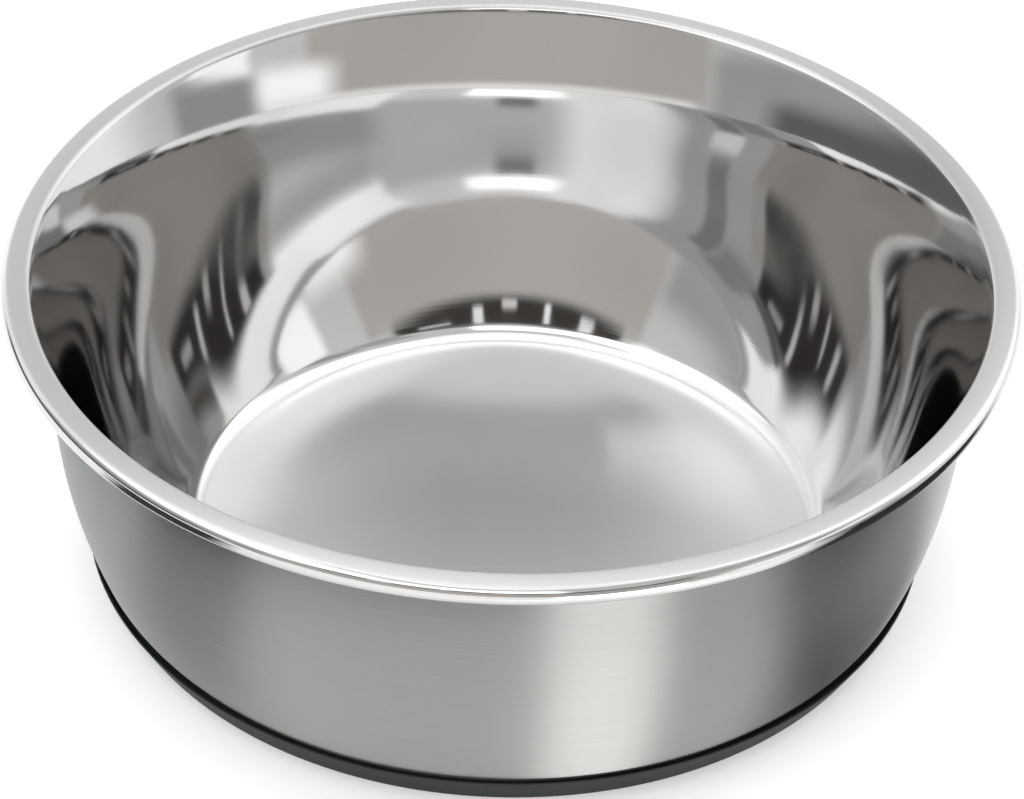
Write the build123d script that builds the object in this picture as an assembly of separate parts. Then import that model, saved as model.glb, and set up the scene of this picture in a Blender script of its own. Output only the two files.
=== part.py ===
from build123d import *
import os
from math import acos, asin, cos, degrees, radians, sin, sqrt, tan

# A round feeding bowl with two walls of drawn stainless steel, standing on a black rubber ring.
# The polished inner bowl leans inwards to a flat floor. The brushed outer shell stands nearly
# upright round it, with air between the two. The inner bowl's edge is rolled down over the shell's
# flange, which makes the rim and locks the two sheets together. The ring is shaped to the shell's
# bottom corner, and a thin film of adhesive holds it there for good, so nothing on the bowl moves.
# Millimetres, +Z up. The origin is on the bowl's axis, on the surface that it stands on.

# Overall sizes
rim_diameter = 210.0
bowl_height = 70.5

# Steel sheets
inner_sheet = 0.7
outer_sheet = 0.6
seam_clearance = 0.05

# Inner bowl, on its food side: a flared neck, a straight cone, a round belly and a corner.
# The cone's two ends are shares of the bowl's height.
cone_lean = 16.5
cone_bottom_share = 0.61
cone_top_share = 0.742
inner_neck_radius = 60.0
inner_belly_radius = 108.0
inner_corner_radius = 5.0

# Outer shell, on its outer face. The upright part starts at a share of the bowl's height.
rim_overhang = 9.8
upright_start_share = 0.68
neck_bend_radius = 12.0
outer_belly_radius = 106.0
base_corner_radius = 12.0

# Rolled rim, on its upper face. The crown falls away outwards between two slopes, in degrees.
rim_shoulder_radius = 1.6
rim_crown_radius = 30.0
rim_crown_start = 1.0
rim_crown_slope = 6.5
rim_curl_radius = 2.2
rim_tail_gap = 0.5

# Adhesive film
bond_thickness = 0.25
bond_setback = 1.5

# Rubber ring. The lip is its upper edge, and the pad is the part under the flat of the base.
pad_thickness = 2.3
pad_width = 20.0
lip_height = 7.4
lip_thickness = 0.5
lip_edge_radius = 0.2
shadow_gap_width = 1.1
shadow_gap_depth = 1.6
outer_face_draft = 30.0
foot_edge_radius = 1.2
inner_edge_radius = 0.8
grip_groove_count = 2
grip_groove_width = 2.0
grip_groove_depth = 0.8

# Angles. The two slopes of the crown are also counted from +x, like every angle on a circle.
quarter_turn = 90.0
half_turn = 180.0
crown_start_angle = quarter_turn - rim_crown_start
crown_end_angle = quarter_turn - rim_crown_slope
crown_sweep = rim_crown_slope - rim_crown_start

# Levels. The inner bowl's floor lies flat on the shell's base.
base_underside = pad_thickness + bond_thickness
base_top = base_underside + outer_sheet
floor_height = base_top + inner_sheet

# Rolled rim: a shoulder bend from the neck over the highest point, a nearly flat crown that falls
# away outwards, and a tight curl that turns the sheet under. Each bend meets the next at a tangent.
rim_radius = rim_diameter / 2
shoulder_reach = rim_crown_radius - rim_shoulder_radius
curl_reach = rim_crown_radius - rim_curl_radius
curl_x = rim_radius - rim_curl_radius
crown_x = curl_x - curl_reach * sin(radians(rim_crown_slope))
shoulder_x = crown_x + shoulder_reach * sin(radians(rim_crown_start))
shoulder_z = bowl_height - rim_shoulder_radius
crown_z = shoulder_z - shoulder_reach * cos(radians(rim_crown_start))
curl_z = crown_z + curl_reach * cos(radians(rim_crown_slope))
shoulder_centre = (shoulder_x, shoulder_z)
crown_centre = (crown_x, crown_z)
curl_centre = (curl_x, curl_z)
roll_bottom = curl_z - rim_curl_radius

# Inner neck: an arc that starts at the cone's lean and meets the shoulder bend at a tangent.
# Its centre lies outside the bowl. Angles of lean are measured from the upright.
lean_cos = cos(radians(cone_lean))
lean_sin = sin(radians(cone_lean))
cone_bottom_height = cone_bottom_share * bowl_height
cone_top_height = cone_top_share * bowl_height
neck_z = cone_top_height - inner_neck_radius * lean_sin
neck_reach = inner_neck_radius - rim_shoulder_radius
neck_lean = degrees(asin((shoulder_z - neck_z) / neck_reach))
neck_x = shoulder_x + neck_reach * cos(radians(neck_lean))
neck_centre = (neck_x, neck_z)

# Inner belly: an arc that starts at the cone's lean and meets the floor's corner at a tangent.
cone_top_x = neck_x - inner_neck_radius * lean_cos
cone_bottom_x = cone_top_x - (cone_top_height - cone_bottom_height) * lean_sin / lean_cos
inner_belly_centre = (
    cone_bottom_x - inner_belly_radius * lean_cos,
    cone_bottom_height + inner_belly_radius * lean_sin,
)
inner_corner_z = floor_height + inner_corner_radius
inner_belly_reach = inner_belly_radius - inner_corner_radius
inner_belly_lean = degrees(asin((inner_belly_centre[1] - inner_corner_z) / inner_belly_reach))
inner_corner_x = inner_belly_centre[0] + inner_belly_reach * cos(radians(inner_belly_lean))
inner_corner_centre = (inner_corner_x, inner_corner_z)

# Outer neck: it lies against the inner one, then a tighter bend brings the wall upright.
wall_x = rim_radius - rim_overhang
outer_neck_radius = inner_neck_radius - inner_sheet - seam_clearance - outer_sheet
bend_reach = outer_neck_radius - neck_bend_radius
bend_x = wall_x + neck_bend_radius
bend_lean = degrees(acos((neck_x - bend_x) / bend_reach))
bend_z = neck_z + bend_reach * sin(radians(bend_lean))
bend_centre = (bend_x, bend_z)

# Outer belly: an arc that starts upright and meets the base corner at a tangent.
upright_start_height = upright_start_share * bowl_height
belly_centre = (wall_x - outer_belly_radius, upright_start_height)
corner_z = base_underside + base_corner_radius
belly_reach = outer_belly_radius - base_corner_radius
belly_lean = degrees(asin((upright_start_height - corner_z) / belly_reach))
corner_x = belly_centre[0] + belly_reach * cos(radians(belly_lean))
corner_centre = (corner_x, corner_z)


def on_circle(centre, radius, angle):
    """The point on a circle at this angle in degrees, counted from +x."""
    x = centre[0] + radius * cos(radians(angle))
    return (x, centre[1] + radius * sin(radians(angle)))


def corner_point(radius, height):
    """The point at this height on the lower outer quarter of a circle about the base corner."""
    drop = corner_z - height
    return (corner_x + sqrt(radius**2 - drop**2), height)


def corner_angle(point):
    """How far below the horizontal a point lies, seen from the base corner's centre, in degrees."""
    rise = point[1] - corner_z
    run = point[0] - corner_x
    return degrees(asin(-rise / sqrt(rise**2 + run**2)))


def outer_neck_at(height):
    """The radius of the outer neck's outside face at a height where it lies on the inner neck."""
    return neck_x - sqrt(outer_neck_radius**2 - (height - neck_z) ** 2)


def turned(profile):
    """A solid of revolution about Z from a face drawn with x as the radius and y as the height."""
    return revolve(Plane.XZ * profile, axis=Axis.Z)


tail_x = outer_neck_at(roll_bottom + inner_sheet) + rim_tail_gap


def inner_bowl_line(depth):
    """One face of the inner sheet, from the axis to the rim's tail, at a depth behind the food side."""
    floor = floor_height - depth
    tail = roll_bottom + depth
    belly_end = on_circle(inner_belly_centre, inner_belly_radius + depth, -cone_lean)
    neck_start = on_circle(neck_centre, inner_neck_radius - depth, half_turn - cone_lean)
    return [
        Line((0, floor), (inner_corner_x, floor)),
        CenterArc(
            inner_corner_centre,
            inner_corner_radius + depth,
            -quarter_turn,
            quarter_turn - inner_belly_lean,
        ),
        CenterArc(
            inner_belly_centre,
            inner_belly_radius + depth,
            -inner_belly_lean,
            inner_belly_lean - cone_lean,
        ),
        Line(belly_end, neck_start),
        CenterArc(
            neck_centre,
            inner_neck_radius - depth,
            half_turn - cone_lean,
            cone_lean - neck_lean,
        ),
        CenterArc(
            shoulder_centre,
            rim_shoulder_radius - depth,
            half_turn - neck_lean,
            crown_start_angle + neck_lean - half_turn,
        ),
        CenterArc(crown_centre, rim_crown_radius - depth, crown_start_angle, -crown_sweep),
        CenterArc(
            curl_centre,
            rim_curl_radius - depth,
            crown_end_angle,
            rim_crown_slope - half_turn,
        ),
        Line((curl_x, tail), (tail_x, tail)),
    ]


def inner_bowl():
    """The polished sheet, from the middle of the floor to the cut edge under the rolled rim."""
    edges = inner_bowl_line(0) + inner_bowl_line(inner_sheet)
    edges.append(Line((0, floor_height), (0, base_top)))
    edges.append(Line((tail_x, roll_bottom), (tail_x, roll_bottom + inner_sheet)))
    return turned(make_face(edges))


# The shell's flange lies under the rim's shoulder and crown, and ends where the curl starts.
flange_drop = inner_sheet + seam_clearance + outer_sheet
flange_bend_radius = rim_shoulder_radius - flange_drop
flange_crown_radius = rim_crown_radius - flange_drop


def outer_shell_line(depth):
    """One face of the outer sheet, from the axis to the flange's edge, at a depth behind its outside."""
    base = base_underside + depth
    wall = wall_x - depth
    return [
        Line((0, base), (corner_x, base)),
        CenterArc(
            corner_centre, base_corner_radius - depth, -quarter_turn, quarter_turn - belly_lean
        ),
        CenterArc(belly_centre, outer_belly_radius - depth, -belly_lean, belly_lean),
        Line((wall, upright_start_height), (wall, bend_z)),
        CenterArc(bend_centre, neck_bend_radius + depth, half_turn, -bend_lean),
        CenterArc(
            neck_centre,
            outer_neck_radius + depth,
            half_turn - bend_lean,
            bend_lean - neck_lean,
        ),
        CenterArc(
            shoulder_centre,
            flange_bend_radius + depth,
            half_turn - neck_lean,
            crown_start_angle + neck_lean - half_turn,
        ),
        CenterArc(crown_centre, flange_crown_radius + depth, crown_start_angle, -crown_sweep),
    ]


def outer_shell():
    """The brushed sheet, from the middle of the base to the flange inside the rolled rim."""
    edges = outer_shell_line(0) + outer_shell_line(outer_sheet)
    edges.append(Line((0, base_underside), (0, base_top)))
    flange_under = on_circle(crown_centre, flange_crown_radius, crown_end_angle)
    flange_over = on_circle(crown_centre, flange_crown_radius + outer_sheet, crown_end_angle)
    edges.append(Line(flange_under, flange_over))
    return turned(make_face(edges))


# Where the ring's seat on the shell starts and ends. The seat lies one film's thickness outside
# the sheet, and an open shadow gap is left between the steel and the ring's lip above it.
seat_radius = base_corner_radius + bond_thickness
lip_radius = base_corner_radius + shadow_gap_width
seat_top = corner_point(seat_radius, lip_height - shadow_gap_depth)
gap_bottom = corner_point(lip_radius, lip_height - shadow_gap_depth)
lip_inside = corner_point(lip_radius, lip_height)
lip_outside = (lip_inside[0] + lip_thickness, lip_height)
foot_x = lip_outside[0] - lip_height * tan(radians(outer_face_draft))
pad_inner_x = foot_x - pad_width


def bond_film():
    """The adhesive between the shell and the ring, from the shadow gap to near the pad's inside."""
    film_x = pad_inner_x + bond_setback
    seat_angle = corner_angle(seat_top)
    top_on_steel = on_circle(corner_centre, base_corner_radius, -seat_angle)
    outline = [
        Line((film_x, pad_thickness), (corner_x, pad_thickness)),
        CenterArc(corner_centre, seat_radius, -quarter_turn, quarter_turn - seat_angle),
        Line(seat_top, top_on_steel),
        CenterArc(corner_centre, base_corner_radius, -seat_angle, seat_angle - quarter_turn),
        Line((corner_x, base_underside), (film_x, base_underside)),
        Line((film_x, base_underside), (film_x, pad_thickness)),
    ]
    return turned(make_face(outline))


def base_ring():
    """The rubber ring: a pad under the base, and a lip that follows the corner up to the gap."""
    seat_angle = corner_angle(seat_top)
    gap_angle = corner_angle(gap_bottom)
    lip_angle = corner_angle(lip_inside)
    outline = [
        Line((pad_inner_x, 0), (foot_x, 0)),
        Line((foot_x, 0), lip_outside),
        Line(lip_outside, lip_inside),
        CenterArc(corner_centre, lip_radius, -lip_angle, lip_angle - gap_angle),
        Line(gap_bottom, seat_top),
        CenterArc(corner_centre, seat_radius, -seat_angle, seat_angle - quarter_turn),
        Line((corner_x, pad_thickness), (pad_inner_x, pad_thickness)),
        Line((pad_inner_x, pad_thickness), (pad_inner_x, 0)),
    ]
    section = make_face(outline)

    edge_radii = [
        ((foot_x, 0), foot_edge_radius),
        ((pad_inner_x, 0), inner_edge_radius),
        (lip_outside, lip_edge_radius),
        (lip_inside, lip_edge_radius),
    ]
    for point, radius in edge_radii:
        section = fillet(section.vertices().sort_by_distance(point)[0], radius)

    # Round grooves in the underside grip the floor. They part the pad into equal lands.
    land_width = (pad_width - grip_groove_count * grip_groove_width) / (grip_groove_count + 1)
    for index in range(grip_groove_count):
        groove_x = pad_inner_x + (index + 1) * (land_width + grip_groove_width)
        groove_x -= grip_groove_width / 2
        section -= Pos(groove_x, 0) * Rectangle(grip_groove_width, 2 * grip_groove_depth)
    return turned(section)


os.makedirs("parts", exist_ok=True)
export_step(inner_bowl(), "parts/inner_bowl.step")
export_step(outer_shell(), "parts/outer_shell.step")
export_step(bond_film(), "parts/bond_film.step")
export_step(base_ring(), "parts/base_ring.step")
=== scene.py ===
# %% [markdown]
# # A steel feeding bowl on a rubber ring
# The bowl is two thin steel bowls, one inside the other. The inner one is polished like a mirror,
# the outer one is brushed, and the inner one's edge is rolled down over the outer one to make the rim.
# A black rubber ring is glued under the base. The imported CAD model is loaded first, as a fixed frame:
# it says where each piece is and how large it is, and every surface below is fitted to it.

# %% Load the frame
import math

import bpy
import numpy as np
from mathutils import Matrix, Vector


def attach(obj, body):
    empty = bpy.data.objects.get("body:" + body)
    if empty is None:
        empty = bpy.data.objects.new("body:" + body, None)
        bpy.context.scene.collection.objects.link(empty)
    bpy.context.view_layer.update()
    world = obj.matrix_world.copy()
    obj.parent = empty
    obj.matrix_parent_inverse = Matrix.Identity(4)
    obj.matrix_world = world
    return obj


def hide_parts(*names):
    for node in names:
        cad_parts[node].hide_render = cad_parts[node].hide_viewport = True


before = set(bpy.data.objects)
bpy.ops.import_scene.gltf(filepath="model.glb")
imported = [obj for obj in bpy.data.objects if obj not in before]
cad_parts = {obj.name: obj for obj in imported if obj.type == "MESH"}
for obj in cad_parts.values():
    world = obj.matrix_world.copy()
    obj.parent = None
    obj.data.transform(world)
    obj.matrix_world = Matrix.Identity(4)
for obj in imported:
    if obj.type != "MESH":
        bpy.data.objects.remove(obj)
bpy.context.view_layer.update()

print("CAD nodes:", sorted(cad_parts))

# %% [markdown]
# ## Measuring the frame
# All pieces of the bowl are turned about the Z axis, so three numbers say most about each: its largest
# radius and its lowest and highest level. They are read from the CAD node's own vertices, so that the
# surfaces made here follow the model when its size changes. The CAD mesh has flat facets, so it is a
# hair wider along one axis than along the other, and the smaller width is used.


# %% Read radii and levels from the nodes
def measure(node):
    """Half the smaller width, the lowest level and the highest level of a CAD node, in metres."""
    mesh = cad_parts[node].data
    flat = np.empty(len(mesh.vertices) * 3, np.float32)
    mesh.vertices.foreach_get("co", flat)
    x, y, z = flat.reshape(-1, 3).T
    return float(min(x.max(), y.max())), float(z.min()), float(z.max())


RIM_RADIUS, BASE_TOP, BOWL_HEIGHT = measure("inner_bowl")
_, BASE_UNDERSIDE, FLANGE_TOP = measure("outer_shell")
LIP_RADIUS, GROUND, LIP_HEIGHT = measure("base_ring")
OUTER_SHEET = BASE_TOP - BASE_UNDERSIDE
print(f"rim radius {RIM_RADIUS:.4f}, height {BOWL_HEIGHT:.4f}, base at {BASE_UNDERSIDE:.5f}")

# %% [markdown]
# ## Outlines and turning
# A lathe makes a round piece from one outline. Here an outline is a chain of points (radius, height),
# made of arcs with straight runs between them, and turning it about Z gives a grid of points: one row
# for each outline point and one column for each angle. Blender's Screw modifier could turn it too, but
# the grid gives exact poles, and each point can carry its distance along the outline, which the brush
# lines and polishing marks follow later.

# %% Helpers for outlines
ARC_STEP = math.radians(4.0)
LENGTH_STEP = 0.0013
RUN_STEP = 0.003
SAME_POINT = 1e-7


def polar(centre, radius, degrees):
    """The point at an angle on a circle: centre + radius (cos a, sin a)."""
    angle = np.radians(degrees)
    return np.asarray(centre) + radius * np.array([np.cos(angle), np.sin(angle)])


def arc(centre, radius, start, end):
    """Points on a circle from one angle to another, in degrees: centre + radius (cos a, sin a)."""
    sweep = math.radians(abs(end - start))
    count = max(math.ceil(sweep / ARC_STEP), math.ceil(radius * sweep / LENGTH_STEP), 1)
    angles = np.radians(np.linspace(start, end, count + 1))
    return np.asarray(centre) + radius * np.stack([np.cos(angles), np.sin(angles)], axis=1)


def outline(*stretches):
    """Arcs and single points joined by straight runs, each run cut into even steps."""
    parts = [np.atleast_2d(np.asarray(stretch, float)) for stretch in stretches]
    chain = [parts[0]]
    for before, after in zip(parts, parts[1:]):
        gap = after[0] - before[-1]
        count = max(math.ceil(np.hypot(*gap) / RUN_STEP), 1)
        share = np.linspace(0, 1, count + 1)[1:-1, None]
        chain += [before[-1] + share * gap, after]
    points = np.concatenate(chain)
    moved = np.hypot(*np.diff(points, axis=0).T) > SAME_POINT
    return points[np.concatenate([[True], moved])]


# %% Turn an outline into a piece
COLUMNS = 320
ON_AXIS = 1e-9
SHARP_EDGE = math.radians(35.0)


def turned(name, points):
    """Point (r, h) of the outline at angle a becomes (r cos a, r sin a, h).

    An outline that starts and ends on the axis gets one point at each pole. Any other one is a loop.
    Its points run so that the outside lies on the right, so that faces point outwards."""
    poles = max(points[0, 0], points[-1, 0]) < ON_AXIS
    rows = points[1:-1] if poles else points
    angle = np.linspace(0, 2 * np.pi, COLUMNS, endpoint=False)
    x = rows[:, :1] * np.cos(angle)
    y = rows[:, :1] * np.sin(angle)
    z = np.broadcast_to(rows[:, 1:], x.shape)
    verts = np.stack([x, y, z], axis=-1).reshape(-1, 3)

    count = len(rows)
    row = np.arange(count - 1 if poles else count)[:, None]
    column = np.arange(COLUMNS)[None, :]
    above, beside = (row + 1) % count, (column + 1) % COLUMNS
    low, high = row * COLUMNS, above * COLUMNS
    corners = (low + column, low + beside, high + beside, high + column)
    faces = np.stack(np.broadcast_arrays(*corners), axis=-1).reshape(-1, 4).tolist()
    along = np.concatenate([[0], np.hypot(*np.diff(points, axis=0).T).cumsum()])
    distance = np.repeat(along[1:-1] if poles else along, COLUMNS)
    if poles:
        verts = np.concatenate([verts, [[0, 0, points[0, 1]], [0, 0, points[-1, 1]]]])
        distance = np.concatenate([distance, along[[0, -1]]])
        first, last = count * COLUMNS, count * COLUMNS + 1
        ring, top = np.arange(COLUMNS), (count - 1) * COLUMNS
        after = (ring + 1) % COLUMNS
        faces += np.stack([np.full(COLUMNS, first), after, ring], axis=1).tolist()
        faces += np.stack([np.full(COLUMNS, last), top + ring, top + after], axis=1).tolist()

    mesh = bpy.data.meshes.new(name)
    mesh.from_pydata(verts.tolist(), [], faces)
    lengths = mesh.attributes.new("along", "FLOAT", "POINT")
    lengths.data.foreach_set("value", distance.astype(np.float32))
    mesh.shade_smooth()
    mesh.set_sharp_from_angle(angle=SHARP_EDGE)
    piece = bpy.data.objects.new(name, mesh)
    bpy.context.scene.collection.objects.link(piece)
    print(f"{name}: {len(points)} outline points, {len(verts)} vertices")
    return piece


def stands_for(piece, node):
    """The piece rides on the bowl's one body and hides its CAD node."""
    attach(piece, "root")
    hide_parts(node)


# %% [markdown]
# ## The inner bowl
# The real inner bowl is one sheet, drawn deep in a press. From the rim down its food side is a flared
# neck, a short straight cone, a round belly, a corner and a flat floor, each running into the next with
# no edge. So each arc's centre is worked out from the arc before it: two circles that touch have their
# centres on one line through the point where they meet. The sheet's other face uses the same centres
# with each radius longer or shorter by the sheet's thickness. The rim is three more arcs: a small
# shoulder, a nearly flat crown and a tight curl.

# %% Centres of the inner bowl's arcs
INNER_SHEET = 0.0007
SHOULDER_RADIUS = 0.0016
CROWN_RADIUS = 0.030
CROWN_START = 90 - 1.0
CROWN_END = 90 - 6.5
CURL_RADIUS = 0.0022
CONE_LEAN = 16.5
CONE_LOW = 0.61 * BOWL_HEIGHT
CONE_HIGH = 0.742 * BOWL_HEIGHT
NECK_RADIUS = 0.060
BELLY_RADIUS = 0.108
CORNER_RADIUS = 0.005

floor_level = BASE_TOP + INNER_SHEET
to_shoulder = polar((0, 0), CROWN_RADIUS - SHOULDER_RADIUS, CROWN_START)
to_curl = polar((0, 0), CROWN_RADIUS - CURL_RADIUS, CROWN_END)
crown_r = RIM_RADIUS - CURL_RADIUS - to_curl[0]
crown_z = BOWL_HEIGHT - SHOULDER_RADIUS - to_shoulder[1]
crown = np.array([crown_r, crown_z])
shoulder, curl = crown + to_shoulder, crown + to_curl

lean = math.radians(CONE_LEAN)
neck_z = CONE_HIGH - NECK_RADIUS * math.sin(lean)
neck_reach = NECK_RADIUS - SHOULDER_RADIUS
neck_lean = math.asin((shoulder[1] - neck_z) / neck_reach)
neck = np.array([shoulder[0] + neck_reach * math.cos(neck_lean), neck_z])
cone_top = polar(neck, NECK_RADIUS, 180 - CONE_LEAN)
cone_bottom = cone_top - (CONE_HIGH - CONE_LOW) * np.array([math.tan(lean), 1])
belly = polar(cone_bottom, BELLY_RADIUS, 180 - CONE_LEAN)
belly_reach = BELLY_RADIUS - CORNER_RADIUS
belly_lean = math.asin((belly[1] - floor_level - CORNER_RADIUS) / belly_reach)
corner = polar(belly, belly_reach, -math.degrees(belly_lean))
print(f"floor radius {corner[0]:.4f}, neck leans {math.degrees(neck_lean):.1f} degrees at the rim")

# %% The inner bowl's outline and piece
TAIL_GAP = 0.0005
SEAM_CLEARANCE = 0.00005
WALL_EASE = 0.004
BELL_ENDS = 3

neck_top = 180 - math.degrees(neck_lean)
belly_low = -math.degrees(belly_lean)
outer_neck_radius = NECK_RADIUS - INNER_SHEET - SEAM_CLEARANCE - OUTER_SHEET
tail_level = curl[1] - CURL_RADIUS
tail_rise = tail_level + INNER_SHEET - neck[1]
tail_radius = neck[0] - math.sqrt(outer_neck_radius**2 - tail_rise**2) + TAIL_GAP


def eased(points, reach):
    """The same line with gentler changes of bend: each point is the mean of its neighbours.

    The points are spaced evenly first, and nearer neighbours count for more, as on a bell curve.
    Both ends stay where they are, because the line is carried on past them, turned half round."""
    along = np.concatenate([[0], np.hypot(*np.diff(points, axis=0).T).cumsum()])
    even = np.linspace(0, along[-1], math.ceil(along[-1] / LENGTH_STEP) + 1)
    line = np.stack([np.interp(even, along, column) for column in points.T], axis=1)
    side = min(math.ceil(BELL_ENDS * reach / LENGTH_STEP), len(line) - 1)
    weight = np.exp(-0.5 * (np.arange(-side, side + 1) * LENGTH_STEP / reach) ** 2)
    before, after = 2 * line[0] - line[side:0:-1], 2 * line[-1] - line[-2:-side - 2:-1]
    longer = np.concatenate([before, line, after])
    columns = [np.convolve(column, weight / weight.sum(), "valid") for column in longer.T]
    return np.stack(columns, axis=1)


def inner_face(depth):
    """One face of the sheet, from the axis to the rim's tail, at a depth behind the food side."""
    wall = outline(
        arc(belly, BELLY_RADIUS + depth, belly_low, -CONE_LEAN),
        arc(neck, NECK_RADIUS - depth, 180 - CONE_LEAN, neck_top),
    )
    return outline(
        (0, floor_level - depth),
        arc(corner, CORNER_RADIUS + depth, -90, belly_low),
        eased(wall, WALL_EASE),
        arc(shoulder, SHOULDER_RADIUS - depth, neck_top, CROWN_START),
        arc(crown, CROWN_RADIUS - depth, CROWN_START, CROWN_END),
        arc(curl, CURL_RADIUS - depth, CROWN_END, -90),
        (tail_radius, tail_level + depth),
    )


inner_bowl = turned("inner_bowl_polished", outline(inner_face(INNER_SHEET), inner_face(0)[::-1]))
stands_for(inner_bowl, "inner_bowl")

# %% [markdown]
# ## The outer shell
# The outer shell is a second drawn sheet. It lies against the inner bowl's neck, bends upright, stands
# almost straight and then rounds in to a flat base. Its flange ends inside the rolled rim, where it is
# locked. It is made the same way as the inner bowl, and it shares the neck's and the shoulder's centres,
# so that the two sheets lie together there.

# %% The outer shell's outline and piece
RIM_OVERHANG = 0.0098
UPRIGHT_START = 0.68 * BOWL_HEIGHT
BEND_RADIUS = 0.012
OUTER_BELLY_RADIUS = 0.106
BASE_CORNER_RADIUS = 0.012

wall_radius = RIM_RADIUS - RIM_OVERHANG
bend_reach = outer_neck_radius - BEND_RADIUS
bend_lean = math.degrees(math.acos((neck[0] - wall_radius - BEND_RADIUS) / bend_reach))
bend = polar(neck, bend_reach, 180 - bend_lean)
outer_belly = np.array([wall_radius - OUTER_BELLY_RADIUS, UPRIGHT_START])
base_corner_z = BASE_UNDERSIDE + BASE_CORNER_RADIUS
base_reach = OUTER_BELLY_RADIUS - BASE_CORNER_RADIUS
base_lean = math.degrees(math.asin((UPRIGHT_START - base_corner_z) / base_reach))
base_corner = polar(outer_belly, base_reach, -base_lean)
flange_drop = BOWL_HEIGHT - FLANGE_TOP + OUTER_SHEET


def outer_face(depth):
    """One face of the sheet, from the axis to the flange's edge, at a depth behind its outside."""
    return outline(
        (0, BASE_UNDERSIDE + depth),
        arc(base_corner, BASE_CORNER_RADIUS - depth, -90, -base_lean),
        arc(outer_belly, OUTER_BELLY_RADIUS - depth, -base_lean, 0),
        arc(bend, BEND_RADIUS + depth, 180, 180 - bend_lean),
        arc(neck, outer_neck_radius + depth, 180 - bend_lean, neck_top),
        arc(shoulder, SHOULDER_RADIUS - flange_drop + depth, neck_top, CROWN_START),
        arc(crown, CROWN_RADIUS - flange_drop + depth, CROWN_START, CROWN_END),
    )


outer_shell = turned("outer_shell_brushed", outline(outer_face(0), outer_face(OUTER_SHEET)[::-1]))
stands_for(outer_shell, "outer_shell")

# %% [markdown]
# ## The rubber ring and its film of adhesive
# The ring is moulded rubber, shaped to the shell's bottom corner. A narrow open gap is left between its
# lip and the steel, which shows as a black line all round. Its outline is a loop: under the foot with
# its grip grooves, up the slanting outside, over the lip, down into the gap and back along the seat.
# The film of adhesive fills the space between the seat and the steel.

# %% The ring's outline and piece
BOND_THICKNESS = 0.00025
GAP_WIDTH = 0.0011
GAP_DEPTH = 0.0016
LIP_EDGE = 0.0002
FACE_DRAFT = 30.0
PAD_WIDTH = 0.020
FOOT_EDGE = 0.0012
INNER_EDGE = 0.0008
GROOVES = 2
GROOVE_WIDTH = 0.002
GROOVE_DEPTH = 0.0008

pad_top = BASE_UNDERSIDE - BOND_THICKNESS
seat = BASE_CORNER_RADIUS + BOND_THICKNESS
lip_inside = BASE_CORNER_RADIUS + GAP_WIDTH


def corner_angle(radius, height):
    """The angle, below the horizontal, of the point at this height on a circle about the base corner."""
    return -math.degrees(math.asin((base_corner[1] - height) / radius))


def rounded(before, point, after, radius):
    """A corner of an outline rounded by an arc that touches both of its straight sides.

    Its centre lies on the line that halves the corner, at the radius over the sine of the half angle."""
    sides = [np.subtract(other, point) for other in (before, after)]
    sides = [side / np.hypot(*side) for side in sides]
    half = math.acos(np.clip(sides[0] @ sides[1], -1, 1)) / 2
    middle = sum(sides) / np.hypot(*sum(sides))
    centre = np.asarray(point) + middle * radius / math.sin(half)
    touch = [np.asarray(point) + side * radius / math.tan(half) for side in sides]
    start, end = (math.degrees(math.atan2(*(p - centre)[::-1])) for p in touch)
    return arc(centre, radius, start, start + (end - start + 180) % 360 - 180)


lip_start = corner_angle(lip_inside, LIP_HEIGHT)
lip_edge = polar(base_corner, lip_inside, lip_start)
print(f"lip edge at radius {lip_edge[0]:.4f}, widest CAD radius {LIP_RADIUS:.4f}")

# %% The ring as a loop
LIP_THICKNESS = 0.0005

lip_out = lip_edge + np.array([LIP_THICKNESS, 0])
foot = np.array([lip_out[0] - LIP_HEIGHT * math.tan(math.radians(FACE_DRAFT)), GROUND])
pad_in = np.array([foot[0] - PAD_WIDTH, GROUND])
pad_back = np.array([pad_in[0], pad_top])
gap_floor = LIP_HEIGHT - GAP_DEPTH
seat_end = corner_angle(seat, gap_floor)
land = (PAD_WIDTH - GROOVES * GROOVE_WIDTH) / (GROOVES + 1)
groove_starts = pad_in[0] + land + np.arange(GROOVES)[:, None] * (land + GROOVE_WIDTH)
groove_r = groove_starts + np.array([0, 0, GROOVE_WIDTH, GROOVE_WIDTH])
groove_z = np.broadcast_to(np.array([0, GROOVE_DEPTH, GROOVE_DEPTH, 0]), groove_r.shape)
grooves = np.stack([groove_r, groove_z], axis=-1).reshape(-1, 2)
ring_loop = outline(
    rounded(pad_back, pad_in, foot, INNER_EDGE),
    *grooves,
    rounded(pad_in, foot, lip_out, FOOT_EDGE),
    rounded(foot, lip_out, lip_edge, LIP_EDGE),
    arc(base_corner, lip_inside, lip_start, corner_angle(lip_inside, gap_floor)),
    arc(base_corner, seat, seat_end, -90),
    pad_back,
)
base_ring = turned("base_ring_rubber", ring_loop)
stands_for(base_ring, "base_ring")

# %% The film of adhesive
BOND_SETBACK = 0.0015

film_radius = pad_in[0] + BOND_SETBACK
film_loop = outline(
    (film_radius, pad_top),
    arc(base_corner, seat, -90, seat_end),
    arc(base_corner, BASE_CORNER_RADIUS, seat_end, -90),
    (film_radius, BASE_UNDERSIDE),
    (film_radius, pad_top),
)[:-1]
bond_film = turned("bond_film_cured", film_loop)
stands_for(bond_film, "bond_film")

# %% [markdown]
# ## Shader arithmetic
# A finish is a small graph of nodes. Writing it as arithmetic keeps it readable, so one class wraps a
# socket: each plus, minus or times adds one Math node to the graph. Every other kind of node comes
# from its one method, which sets the node's settings first and then its values or links.


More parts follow.
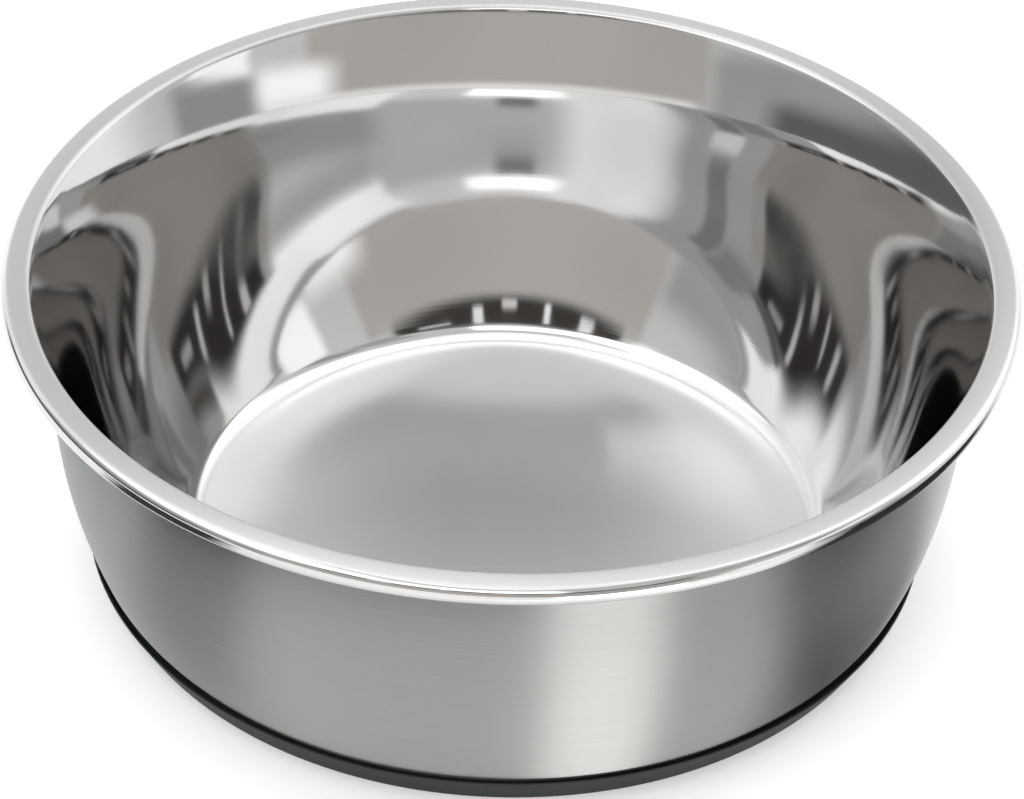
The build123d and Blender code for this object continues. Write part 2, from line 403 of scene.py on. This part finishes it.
# %% A socket that can be used in expressions
class Signal:
    """One output of a node graph. Arithmetic with numbers and other signals adds Math nodes to it."""

    def __init__(self, tree, socket=None):
        self.tree = tree
        self.socket = socket

    def node(self, kind, settings=None, inputs=None, output=0):
        """Adds a node with these settings, then gives each input its value or its link."""
        made = self.tree.nodes.new(kind)
        for name, value in (settings or {}).items():
            setattr(made, name, value)
        for key, value in (inputs or {}).items():
            if isinstance(value, Signal):
                self.tree.links.new(value.socket, made.inputs[key])
            else:
                made.inputs[key].default_value = value
        return Signal(self.tree, made.outputs[output])

    def maths(self, operation, *values):
        """Adds one Math node."""
        return self.node("ShaderNodeMath", {"operation": operation}, dict(enumerate(values)))

    def __add__(self, other):
        return self.maths("ADD", self, other)

    def __sub__(self, other):
        return self.maths("SUBTRACT", self, other)

    def __rsub__(self, other):
        return self.maths("SUBTRACT", other, self)

    def __mul__(self, other):
        return self.maths("MULTIPLY", self, other)

    def step(self, low, high):
        """A smooth step: 0 below low, 1 above high."""
        inputs = {"Value": self, "From Min": low, "From Max": high}
        return self.node("ShaderNodeMapRange", {"interpolation_type": "SMOOTHSTEP"}, inputs)

    def mix(self, first, second):
        """A colour between two others, with this signal as the second one's share."""
        return self.node("ShaderNodeMix", {"data_type": "RGBA"}, {0: self, 6: first, 7: second}, 2)

    __radd__ = __add__
    __rmul__ = __mul__


# %% Helpers that every finish uses
def new_finish(name):
    """A new material, its surface shader's node and a signal to build its graph on."""
    material = bpy.data.materials.new(name)
    material.use_nodes = True
    return material, material.node_tree.nodes["Principled BSDF"], Signal(material.node_tree)


def feed(bsdf, name, signal):
    """Links a signal that changes over the surface to one of the shader's sockets."""
    signal.tree.links.new(signal.socket, bsdf.inputs[name])


def steady(bsdf, values):
    """Sets those of the shader's sockets that are the same all over the surface."""
    for name, value in values.items():
        bsdf.inputs[name].default_value = value


def show(graph, kind, inputs):
    """Joins shaders with a node of this kind and makes the result the material's surface."""
    joined = graph.node(kind, None, inputs)
    graph.tree.links.new(joined.socket, graph.tree.nodes["Material Output"].inputs["Surface"])


def place(graph):
    """The x, y and z of a point in the bowl's own frame, and its distance along the outline."""
    point = graph.node("ShaderNodeTexCoord", output="Object")
    split = graph.node("ShaderNodeSeparateXYZ", None, {0: point})
    x, y, z = (Signal(graph.tree, split.socket.node.outputs[k]) for k in range(3))
    along = graph.node("ShaderNodeAttribute", {"attribute_name": "along"}, output="Fac")
    return x, y, z, along


def noise(graph, point, scale, detail=2.0, roughness=0.5):
    """Soft random values from 0 to 1 over x, y and a third value, finer where the scale is larger.

    The scale's first number is for x and y, and its second one for the third value."""
    x, y, third = point
    across, up = scale
    point = graph.node("ShaderNodeCombineXYZ", None, {0: x * across, 1: y * across, 2: third * up})
    inputs = {"Vector": point, "Scale": 1.0, "Detail": detail, "Roughness": roughness}
    return graph.node("ShaderNodeTexNoise", None, inputs)


def swing(signal, amount):
    """A noise value as a change either way: (value - 0.5) times the amount."""
    return (signal - 0.5) * amount


def bumped(graph, height, depth, normal=None):
    """The surface's normal, tilted as if the height rose and fell by the depth, in metres."""
    inputs = {"Height": height, "Distance": depth, "Strength": 1.0}
    if normal is not None:
        inputs["Normal"] = normal
    return graph.node("ShaderNodeBump", None, inputs)


# %% [markdown]
# ## Polished steel
# The inner bowl was polished while it turned, so the marks that are left run round it. They are far too
# fine to model, so they go into the roughness and into a very shallow bump. The wall is close to a
# mirror. The floor is duller, with a rougher finish, and its middle is painted darker: painted shade
# that stands for the dim reflection the floor shows there. The rim's flat top was only ground, with
# lines that run round, so it has a shader
# of its own, which spreads light across the lines. A mask by radius lays it over the mirror, and leaves
# the curl at the rim's outside polished.

# %% The polished wall and floor
POLISHED_LIGHT = (0.550, 0.545, 0.540, 1)
POLISHED_DULL = (0.500, 0.496, 0.491, 1)
# The floor's middle is painted this darker colour: painted shade for the dim reflection it shows there.
FLOOR_PAINTED_SHADE = (0.360, 0.357, 0.354, 1)
FLOOR_BLEND = (0.0625, 0.0700)
PAINTED_SHADE_BLEND = (0.005, 0.060)
WALL_ROUGHNESS = 0.045
FLOOR_ROUGHNESS = 0.225
RING_SCALE, RING_ROUGHNESS, RING_DEPTH = (30, 2600), 0.02, 0.0000012
SMEAR_SCALE, SMEAR_ROUGHNESS, SMEAR_BLEND = (28, 40), 0.03, (0.3, 0.8)
WAVE_SCALE, WAVE_DEPTH = (20, 16), 0.00005
RIPPLE_SCALE, RIPPLE_DEPTH = (120, 90), 0.000009

polished, bsdf, graph = new_finish("polished_steel")
x, y, z, along = place(graph)
radius = x.maths("SQRT", x * x + y * y)
rings = noise(graph, (x, y, along), RING_SCALE, detail=3)
smears = noise(graph, (x, y, z), SMEAR_SCALE, detail=0).step(*SMEAR_BLEND)
waves = noise(graph, (x, y, z), WAVE_SCALE, detail=1)
ripples = noise(graph, (x, y, z), RIPPLE_SCALE, detail=1)
on_floor = 1 - radius.step(*FLOOR_BLEND)
# Mask of the painted shade: 1 in the floor's middle, fading out towards the wall.
painted_floor_shade = (1 - radius.step(*PAINTED_SHADE_BLEND)) * on_floor
wall_colour = smears.mix(POLISHED_LIGHT, POLISHED_DULL)
roughness = WALL_ROUGHNESS + on_floor * (FLOOR_ROUGHNESS - WALL_ROUGHNESS)
roughness = roughness + smears * SMEAR_ROUGHNESS + swing(rings, RING_ROUGHNESS)
uneven = bumped(graph, ripples, RIPPLE_DEPTH, bumped(graph, waves, WAVE_DEPTH))
normal = bumped(graph, rings, RING_DEPTH, uneven)
# The floor's middle takes the painted shade colour in place of the steel's own colour.
feed(bsdf, "Base Color", painted_floor_shade.mix(wall_colour, FLOOR_PAINTED_SHADE))
feed(bsdf, "Roughness", roughness)
feed(bsdf, "Normal", normal)
steady(bsdf, {"Metallic": 1.0})
inner_bowl.data.materials.append(polished)
print("polished wall and floor:", len(polished.node_tree.nodes), "nodes")

# %% The rim's ground top
POLISHED_RIM = (0.400, 0.396, 0.390, 1)
RIM_BLEND = (shoulder[0] - SHOULDER_RADIUS, shoulder[0] - 0.4 * SHOULDER_RADIUS)
CURL_BLEND = (curl[0] + 0.2 * CURL_RADIUS, curl[0] + 0.5 * CURL_RADIUS)
RIM_ROUGHNESS = 0.34
RIM_LINES = 0.06
RIM_ANISOTROPY = 0.85
QUARTER_TURN = 0.25

on_rim = radius.step(*RIM_BLEND) * (1 - radius.step(*CURL_BLEND))
ground = graph.node("ShaderNodeBsdfPrincipled", None, {
    "Base Color": POLISHED_RIM, "Roughness": RIM_ROUGHNESS + swing(rings, RIM_LINES), "Metallic": 1.0,
    "Anisotropic": RIM_ANISOTROPY, "Anisotropic Rotation": QUARTER_TURN, "Normal": normal,
})
show(graph, "ShaderNodeMixShader", {0: on_rim, 1: Signal(graph.tree, bsdf.outputs[0]), 2: ground})
print("polished steel with the rim:", len(polished.node_tree.nodes), "nodes")

# %% [markdown]
# ## Brushed steel
# The outer shell turned against an abrasive belt, which left fine lines all round it. Such a surface
# spreads reflections across the lines far more than along them, so lights become tall soft bands. The
# shader's anisotropy does that. It stretches reflections along its own direction, which runs round the
# Z axis, so that direction gets a quarter turn. The single lines are noise that changes quickly along
# the outline and slowly round the bowl.

# %% The outer shell's finish
BRUSHED_DARK = (0.372, 0.380, 0.368, 1)
BRUSHED_LIGHT = (0.408, 0.416, 0.404, 1)
BRUSHED_ROUGHNESS = 0.55
BRUSHED_ANISOTROPY = 1.0
HAIR_SCALE, HAIR_SHARE = (60, 9000), 0.55
STROKE_SCALE, STROKE_SHARE = (24, 3200), 0.45
LINE_BLEND, LINE_ROUGHNESS, LINE_DEPTH = (0.32, 0.68), 0.10, 0.0000016
CLOUD_SCALE, CLOUD_ROUGHNESS = (22, 30), 0.05

brushed, bsdf, graph = new_finish("brushed_steel")
x, y, z, along = place(graph)
hairs = noise(graph, (x, y, along), HAIR_SCALE)
strokes = noise(graph, (x, y, along), STROKE_SCALE, detail=3, roughness=0.6)
cloud = noise(graph, (x, y, z), CLOUD_SCALE)
lines = hairs * HAIR_SHARE + strokes * STROKE_SHARE
roughness = BRUSHED_ROUGHNESS + swing(lines, LINE_ROUGHNESS) + swing(cloud, CLOUD_ROUGHNESS)
feed(bsdf, "Base Color", lines.step(*LINE_BLEND).mix(BRUSHED_DARK, BRUSHED_LIGHT))
feed(bsdf, "Roughness", roughness)
feed(bsdf, "Normal", bumped(graph, lines, LINE_DEPTH))
steady(bsdf, {"Metallic": 1.0, "Anisotropic": BRUSHED_ANISOTROPY, "Anisotropic Rotation": QUARTER_TURN})
outer_shell.data.materials.append(brushed)
print("brushed steel:", len(brushed.node_tree.nodes), "nodes")

# %% [markdown]
# ## Rubber and adhesive
# The ring came out of a mould with a fine spark-eroded grain, so it is matt, and a little dust sits in
# the grain. The adhesive is a cured dark film that hardly shows, only at the bottom of the gap.

# %% The ring's finish
RUBBER_DARK = (0.009, 0.011, 0.012, 1)
RUBBER_LIGHT = (0.018, 0.022, 0.024, 1)
RUBBER_BLEND = (0.3, 0.7)
RUBBER_ROUGHNESS = 0.58
RUBBER_GLOSS = 0.2
GRAIN_SCALE, GRAIN_SHARE, GRAIN_ROUGHNESS, GRAIN_DEPTH = (2600, 2600), 0.4, 0.2, 0.00004
PATCH_SCALE, PATCH_SHARE, PATCH_ROUGHNESS = (90, 160), 0.6, 0.1

rubber, bsdf, graph = new_finish("moulded_rubber")
x, y, z, _ = place(graph)
grain = noise(graph, (x, y, z), GRAIN_SCALE)
patches = noise(graph, (x, y, z), PATCH_SCALE, detail=4, roughness=0.6)
dust = (grain * GRAIN_SHARE + patches * PATCH_SHARE).step(*RUBBER_BLEND)
roughness = RUBBER_ROUGHNESS + swing(grain, GRAIN_ROUGHNESS) + swing(patches, PATCH_ROUGHNESS)
feed(bsdf, "Base Color", dust.mix(RUBBER_DARK, RUBBER_LIGHT))
feed(bsdf, "Roughness", roughness)
feed(bsdf, "Normal", bumped(graph, grain, GRAIN_DEPTH))
steady(bsdf, {"Specular IOR Level": RUBBER_GLOSS})
base_ring.data.materials.append(rubber)
print("rubber:", len(rubber.node_tree.nodes), "nodes")

# %% The film's finish
FILM_DARK = (0.020, 0.019, 0.018, 1)
FILM_LIGHT = (0.040, 0.038, 0.036, 1)
FILM_SCALE, FILM_BLEND = (400, 900), (0.3, 0.7)
FILM_ROUGHNESS, FILM_UNEVENNESS = 0.4, 0.2

film, bsdf, graph = new_finish("cured_adhesive")
x, y, z, _ = place(graph)
ripple = noise(graph, (x, y, z), FILM_SCALE)
feed(bsdf, "Base Color", ripple.step(*FILM_BLEND).mix(FILM_DARK, FILM_LIGHT))
feed(bsdf, "Roughness", FILM_ROUGHNESS + swing(ripple, FILM_UNEVENNESS))
bond_film.data.materials.append(film)
print("adhesive:", len(film.node_tree.nodes), "nodes")

# %% [markdown]
# ## The floor
# The bowl stands on a plain pale floor that is large enough to fill the picture. To the camera and in
# the steel it gives off a little light of its own, so that it comes out white without brighter lamps,
# and the bowl's soft shadow still shows on it.

# %% The floor
FLOOR_HALF = 3.0
FLOOR_DROP = 0.00005

floor_mesh = bpy.data.meshes.new("floor")
square = np.array([[-1, -1], [1, -1], [1, 1], [-1, 1]]) * FLOOR_HALF
levels = np.full(len(square), GROUND - FLOOR_DROP)
floor_mesh.from_pydata(np.column_stack([square, levels]).tolist(), [], [(0, 1, 2, 3)])
floor = bpy.data.objects.new("floor", floor_mesh)
bpy.context.scene.collection.objects.link(floor)
print("floor:", 2 * FLOOR_HALF, "m wide")

# %% The floor's finish
FLOOR_COLOUR = (0.77, 0.77, 0.77, 1)
FLOOR_LIFT = 0.30
WHITE = (1, 1, 1, 1)
MATT = 0.9

paper, bsdf, graph = new_finish("pale_floor")
steady(bsdf, {"Base Color": FLOOR_COLOUR, "Roughness": MATT, "Specular IOR Level": 0.0})
rays = graph.node("ShaderNodeLightPath").socket.node.outputs
kinds = ("Is Camera Ray", "Is Glossy Ray", "Is Transmission Ray")
to_camera, glossy, through = (Signal(graph.tree, rays[kind]) for kind in kinds)
shown = to_camera.maths("MAXIMUM", to_camera, glossy)
shown = shown.maths("MAXIMUM", shown, through)
glow = graph.node("ShaderNodeEmission", None, {"Color": WHITE, "Strength": shown * FLOOR_LIFT})
show(graph, "ShaderNodeAddShader", {0: Signal(graph.tree, bsdf.outputs[0]), 1: glow})
floor_mesh.materials.append(paper)
print("pale floor:", len(paper.node_tree.nodes), "nodes")

# %% [markdown]
# ## The studio
# Polished steel shows the room around it, so the room is most of its look. The room here is a plain
# studio painted on the world as soft-edged panels, each a span of angle round the bowl and of height
# above it. Pale walls and white screens stand behind and beside the bowl, and a strip light hangs over
# it. In front are a warm grey wall, a dark wall where the camera stands and a few small lamps. Each
# panel covers those before it. Angle 0 is towards the camera and turns to the right.

# %% The room
ROOM_COLOUR = (0.80, 0.80, 0.79, 1)
ROOM_STRENGTH = 1.15
PANELS = [
    # name, from angle, to angle, from height, to height, edge softness in degrees, colour
    ("pale far wall, right part", 100, 400, -10, 100, 10, (1.20, 1.20, 1.20, 1)),
    ("pale far wall, left part", -400, -110, -10, 100, 10, (1.22, 1.22, 1.22, 1)),
    ("lighter far wall above, right part", 100, 400, 50, 100, 10, (1.70, 1.70, 1.70, 1)),
    ("lighter far wall above, left part", -400, -105, 48, 100, 10, (1.70, 1.70, 1.70, 1)),
    ("grey panel high on the far wall, right part", 170, 400, 37, 52, 4, (0.45, 0.45, 0.45, 1)),
    ("grey panel high on the far wall, left part", -400, -170, 37, 52, 4, (0.45, 0.45, 0.45, 1)),
    ("strip light overhead, right part", 152, 400, 53, 70, 4, (3.70, 3.70, 3.70, 1)),
    ("strip light overhead, left part", -400, -152, 53, 70, 4, (3.70, 3.70, 3.70, 1)),
    ("white foot of the far wall, right part", 140, 400, -30, 16, 6, (1.50, 1.50, 1.50, 1)),
    ("white foot of the far wall, left part", -400, -140, -30, 16, 6, (1.50, 1.50, 1.50, 1)),
    ("large white screen on the far right", 103, 156, 19, 90, 12, (2.10, 2.10, 2.10, 1)),
    ("large white screen on the left", -112, -47, 37, 70, 4, (2.40, 2.40, 2.40, 1)),
    ("white ceiling", -400, 400, 77, 100, 4, (1.65, 1.65, 1.65, 1)),
    ("dim left below the screen", -112, -48, -10, 26, 4, (0.48, 0.48, 0.47, 1)),
    ("dark foot of the left wall", -130, -64, -10, 14, 5, (0.16, 0.16, 0.16, 1)),
    ("warm front", -47, 52, 6, 35, 2, (0.61, 0.580, 0.555, 1)),
    ("bright strip low in front", -44, 64, -10, 6, 2, (1.25, 1.23, 1.20, 1)),
    ("white screen over the camera", -60, 16, 42.5, 64, 2, (2.30, 2.30, 2.30, 1)),
    ("dark wall behind the camera", -41, 43, 34.6, 41, 1.5, (0.06, 0.055, 0.05, 1)),
    ("dark wall, higher part on the right", 14, 46, 41, 44, 1.5, (0.16, 0.15, 0.14, 1)),
    ("small lamp, far left", -30, -25, 36, 40, 0.8, (1.20, 1.20, 1.20, 1)),
    ("small lamp, left", -14, -12, 35.6, 39, 0.7, (1.30, 1.30, 1.30, 1)),
    ("small lamp, middle", -2, 3, 35.4, 37, 0.6, (0.90, 0.88, 0.86, 1)),
    ("small lamp, right", 10, 13.5, 36.4, 40, 0.6, (1.20, 1.20, 1.20, 1)),
    ("pale shelf, right", 22, 34, 37.6, 39, 0.6, (0.80, 0.80, 0.80, 1)),
    ("grey wall on the right", 43, 66, 38, 60, 4, (0.52, 0.52, 0.52, 1)),
    ("low white screen on the right", 46, 66, 5, 19, 5, (1.55, 1.55, 1.55, 1)),
    ("dim right side", 66, 88, -10, 18, 3, (0.42, 0.42, 0.43, 1)),
    ("small screen on the right", 67, 83, 19, 31, 2, (1.45, 1.45, 1.46, 1)),
    ("grey bar over it", 68, 80, 33, 56, 2, (0.44, 0.44, 0.45, 1)),
]
print("room panels:", [panel[0] for panel in PANELS])

# %% Paint the room on the world
DEGREES = 180 / math.pi

world = bpy.data.worlds.new("studio")
bpy.context.scene.world = world
world.use_nodes = True
graph = Signal(world.node_tree)
way = graph.node("ShaderNodeTexCoord", output="Generated")
split = graph.node("ShaderNodeSeparateXYZ", None, {0: way}).socket.node
x, y, z = (Signal(graph.tree, split.outputs[k]) for k in range(3))
angle = x.maths("ARCTAN2", x, y * -1) * DEGREES
height = z.maths("ARCSINE", z) * DEGREES


def window(value, low, high, soft):
    """1 between two values and 0 outside: a soft step up at one times a soft step down at the other."""
    return value.step(low - soft, low + soft) * (1 - value.step(high - soft, high + soft))


colour = ROOM_COLOUR
for name, left, right, low, high, soft, paint in PANELS:
    colour = (window(angle, left, right, soft) * window(height, low, high, soft)).mix(colour, paint)
room = graph.node("ShaderNodeBackground", None, {"Color": colour, "Strength": ROOM_STRENGTH})
graph.tree.links.new(room.socket, world.node_tree.nodes["World Output"].inputs["Surface"])
print("studio:", len(world.node_tree.nodes), "nodes")

# %% [markdown]
# ## The lamp
# One small lamp stands low in front of the bowl, a little to the right. It is lower than the rim, so
# the polished inside doesn't show it, and the brushed wall draws it out to one tall bright band.

# %% The low lamp
LAMP_ANGLE = 19.5
LAMP_DISTANCE = 0.27
LAMP_WIDTH = 0.10
LAMP_HEIGHT = 0.068
LAMP_BRIGHTNESS = 9.2


def towards(angle, height):
    """The direction at an angle from the camera's side and a height above the floor, in degrees.

    It is (sin a cos h, -cos a cos h, sin h)."""
    a, h = math.radians(angle), math.radians(height)
    return Vector((math.sin(a) * math.cos(h), -math.cos(a) * math.cos(h), math.sin(h)))


lamp = bpy.data.lights.new("low lamp", "AREA")
lamp.shape = "RECTANGLE"
lamp.size, lamp.size_y = LAMP_WIDTH, LAMP_HEIGHT
lamp.energy = LAMP_BRIGHTNESS * math.pi * LAMP_WIDTH * LAMP_HEIGHT
stand = bpy.data.objects.new("low_lamp", lamp)
aim = towards(LAMP_ANGLE, 0)
lamp_place = aim * LAMP_DISTANCE + Vector((0, 0, LAMP_HEIGHT / 2))
facing = aim.to_track_quat("Z", "Y").to_matrix().to_4x4()
stand.matrix_world = Matrix.Translation(lamp_place) @ facing
stand.visible_camera = False
bpy.context.scene.collection.objects.link(stand)
print(f"low lamp: {lamp.energy:.3f} W")

# %% [markdown]
# ## The dark cards
# Photographers lay black cards beside bright metal, so that its sides fall into shade and the form reads
# as round. Here one lies on each side of the bowl, with its far edge bent up. Their ends fade out, so
# that the steel shows no edge there, and only reflections see them.

# %% The cards' finish
CARD_COLOUR = (0.03, 0.03, 0.03, 1)

card_finish, bsdf, graph = new_finish("black_card")
steady(bsdf, {"Base Color": CARD_COLOUR, "Roughness": MATT})
cover = graph.node("ShaderNodeAttribute", {"attribute_name": "cover"}, output="Fac")
clear = graph.node("ShaderNodeBsdfTransparent")
show(graph, "ShaderNodeMixShader", {0: cover, 1: clear, 2: Signal(graph.tree, bsdf.outputs[0])})
print("black card:", len(card_finish.node_tree.nodes), "nodes")

# %% The dark cards
CARD_STEPS = 25
CARD_FADE = 0.2
CARD_LIFT = 0.0004
CARDS = [
    # name, from angle, to angle, near edge, far edge, height of the bent part
    ("right_card", 44, 92, 0.091, 0.165, 0.069),
    ("left_card", -75, -43, 0.115, 0.24, 0.045),
]

for name, first, last, near, far, height in CARDS:
    # Three arcs about Z, near, far and raised: (r sin a, -r cos a, level), with faces between them.
    spread = np.radians(np.linspace(first, last, CARD_STEPS))
    flat = GROUND + CARD_LIFT
    bands = [np.stack([np.sin(spread) * r, -np.cos(spread) * r, np.full(CARD_STEPS, level)], axis=1)
             for r, level in ((near, flat), (far, flat), (far, height))]
    starts = np.arange(len(bands) - 1)[:, None] * CARD_STEPS
    index = (starts + np.arange(CARD_STEPS - 1)).ravel()
    faces = np.stack([index, index + CARD_STEPS, index + CARD_STEPS + 1, index + 1], axis=1)
    card_mesh = bpy.data.meshes.new(name)
    card_mesh.from_pydata(np.concatenate(bands).tolist(), [], faces.tolist())
    share = np.linspace(0, 1, CARD_STEPS)
    ends = np.clip(np.minimum(share, 1 - share) / CARD_FADE, 0, 1)
    covers = card_mesh.attributes.new("cover", "FLOAT", "POINT")
    covers.data.foreach_set("value", np.tile(ends, len(bands)).astype(np.float32))
    card_mesh.materials.append(card_finish)
    card = bpy.data.objects.new(name, card_mesh)
    bpy.context.scene.collection.objects.link(card)
    card.visible_camera = card.visible_diffuse = card.visible_shadow = False
    print(f"{name}: {len(faces)} faces")

# %% [markdown]
# ## The camera
# The photograph was taken with a long lens from in front and above. Fitting the rim, the wall and the
# foot to circles gave the camera's height, distance, tilt and small roll, and they are used as they
# came out, so that the picture can be laid over the photograph.

# %% The camera
SENSOR = 36.0
LENS = 175.8
RIM_LEVEL = 0.968 * BOWL_HEIGHT
CAMERA_DISTANCE = 9.801 * RIM_RADIUS
CAMERA_HEIGHT_ANGLE = 35.724
LOOK_DOWN = 37.134
LOOK_ASIDE = 0.053
ROLL = 1.718

rim_centre = Vector((0, 0, RIM_LEVEL))
camera_data = bpy.data.cameras.new("camera")
camera_data.sensor_width = SENSOR
camera_data.lens = LENS
camera = bpy.data.objects.new("camera", camera_data)
bpy.context.scene.collection.objects.link(camera)
aside = Matrix.Rotation(math.radians(-LOOK_ASIDE), 3, "Z")
down = Matrix.Rotation(math.radians(90 - LOOK_DOWN), 3, "X")
roll = Matrix.Rotation(math.radians(ROLL), 3, "Z")
camera.matrix_world = (aside @ down @ roll).to_4x4()
camera.location = rim_centre + towards(0, CAMERA_HEIGHT_ANGLE) * CAMERA_DISTANCE
bpy.context.scene.camera = camera
bpy.context.scene.view_settings.view_transform = "Standard"
print("camera at", [round(v, 3) for v in camera.location])
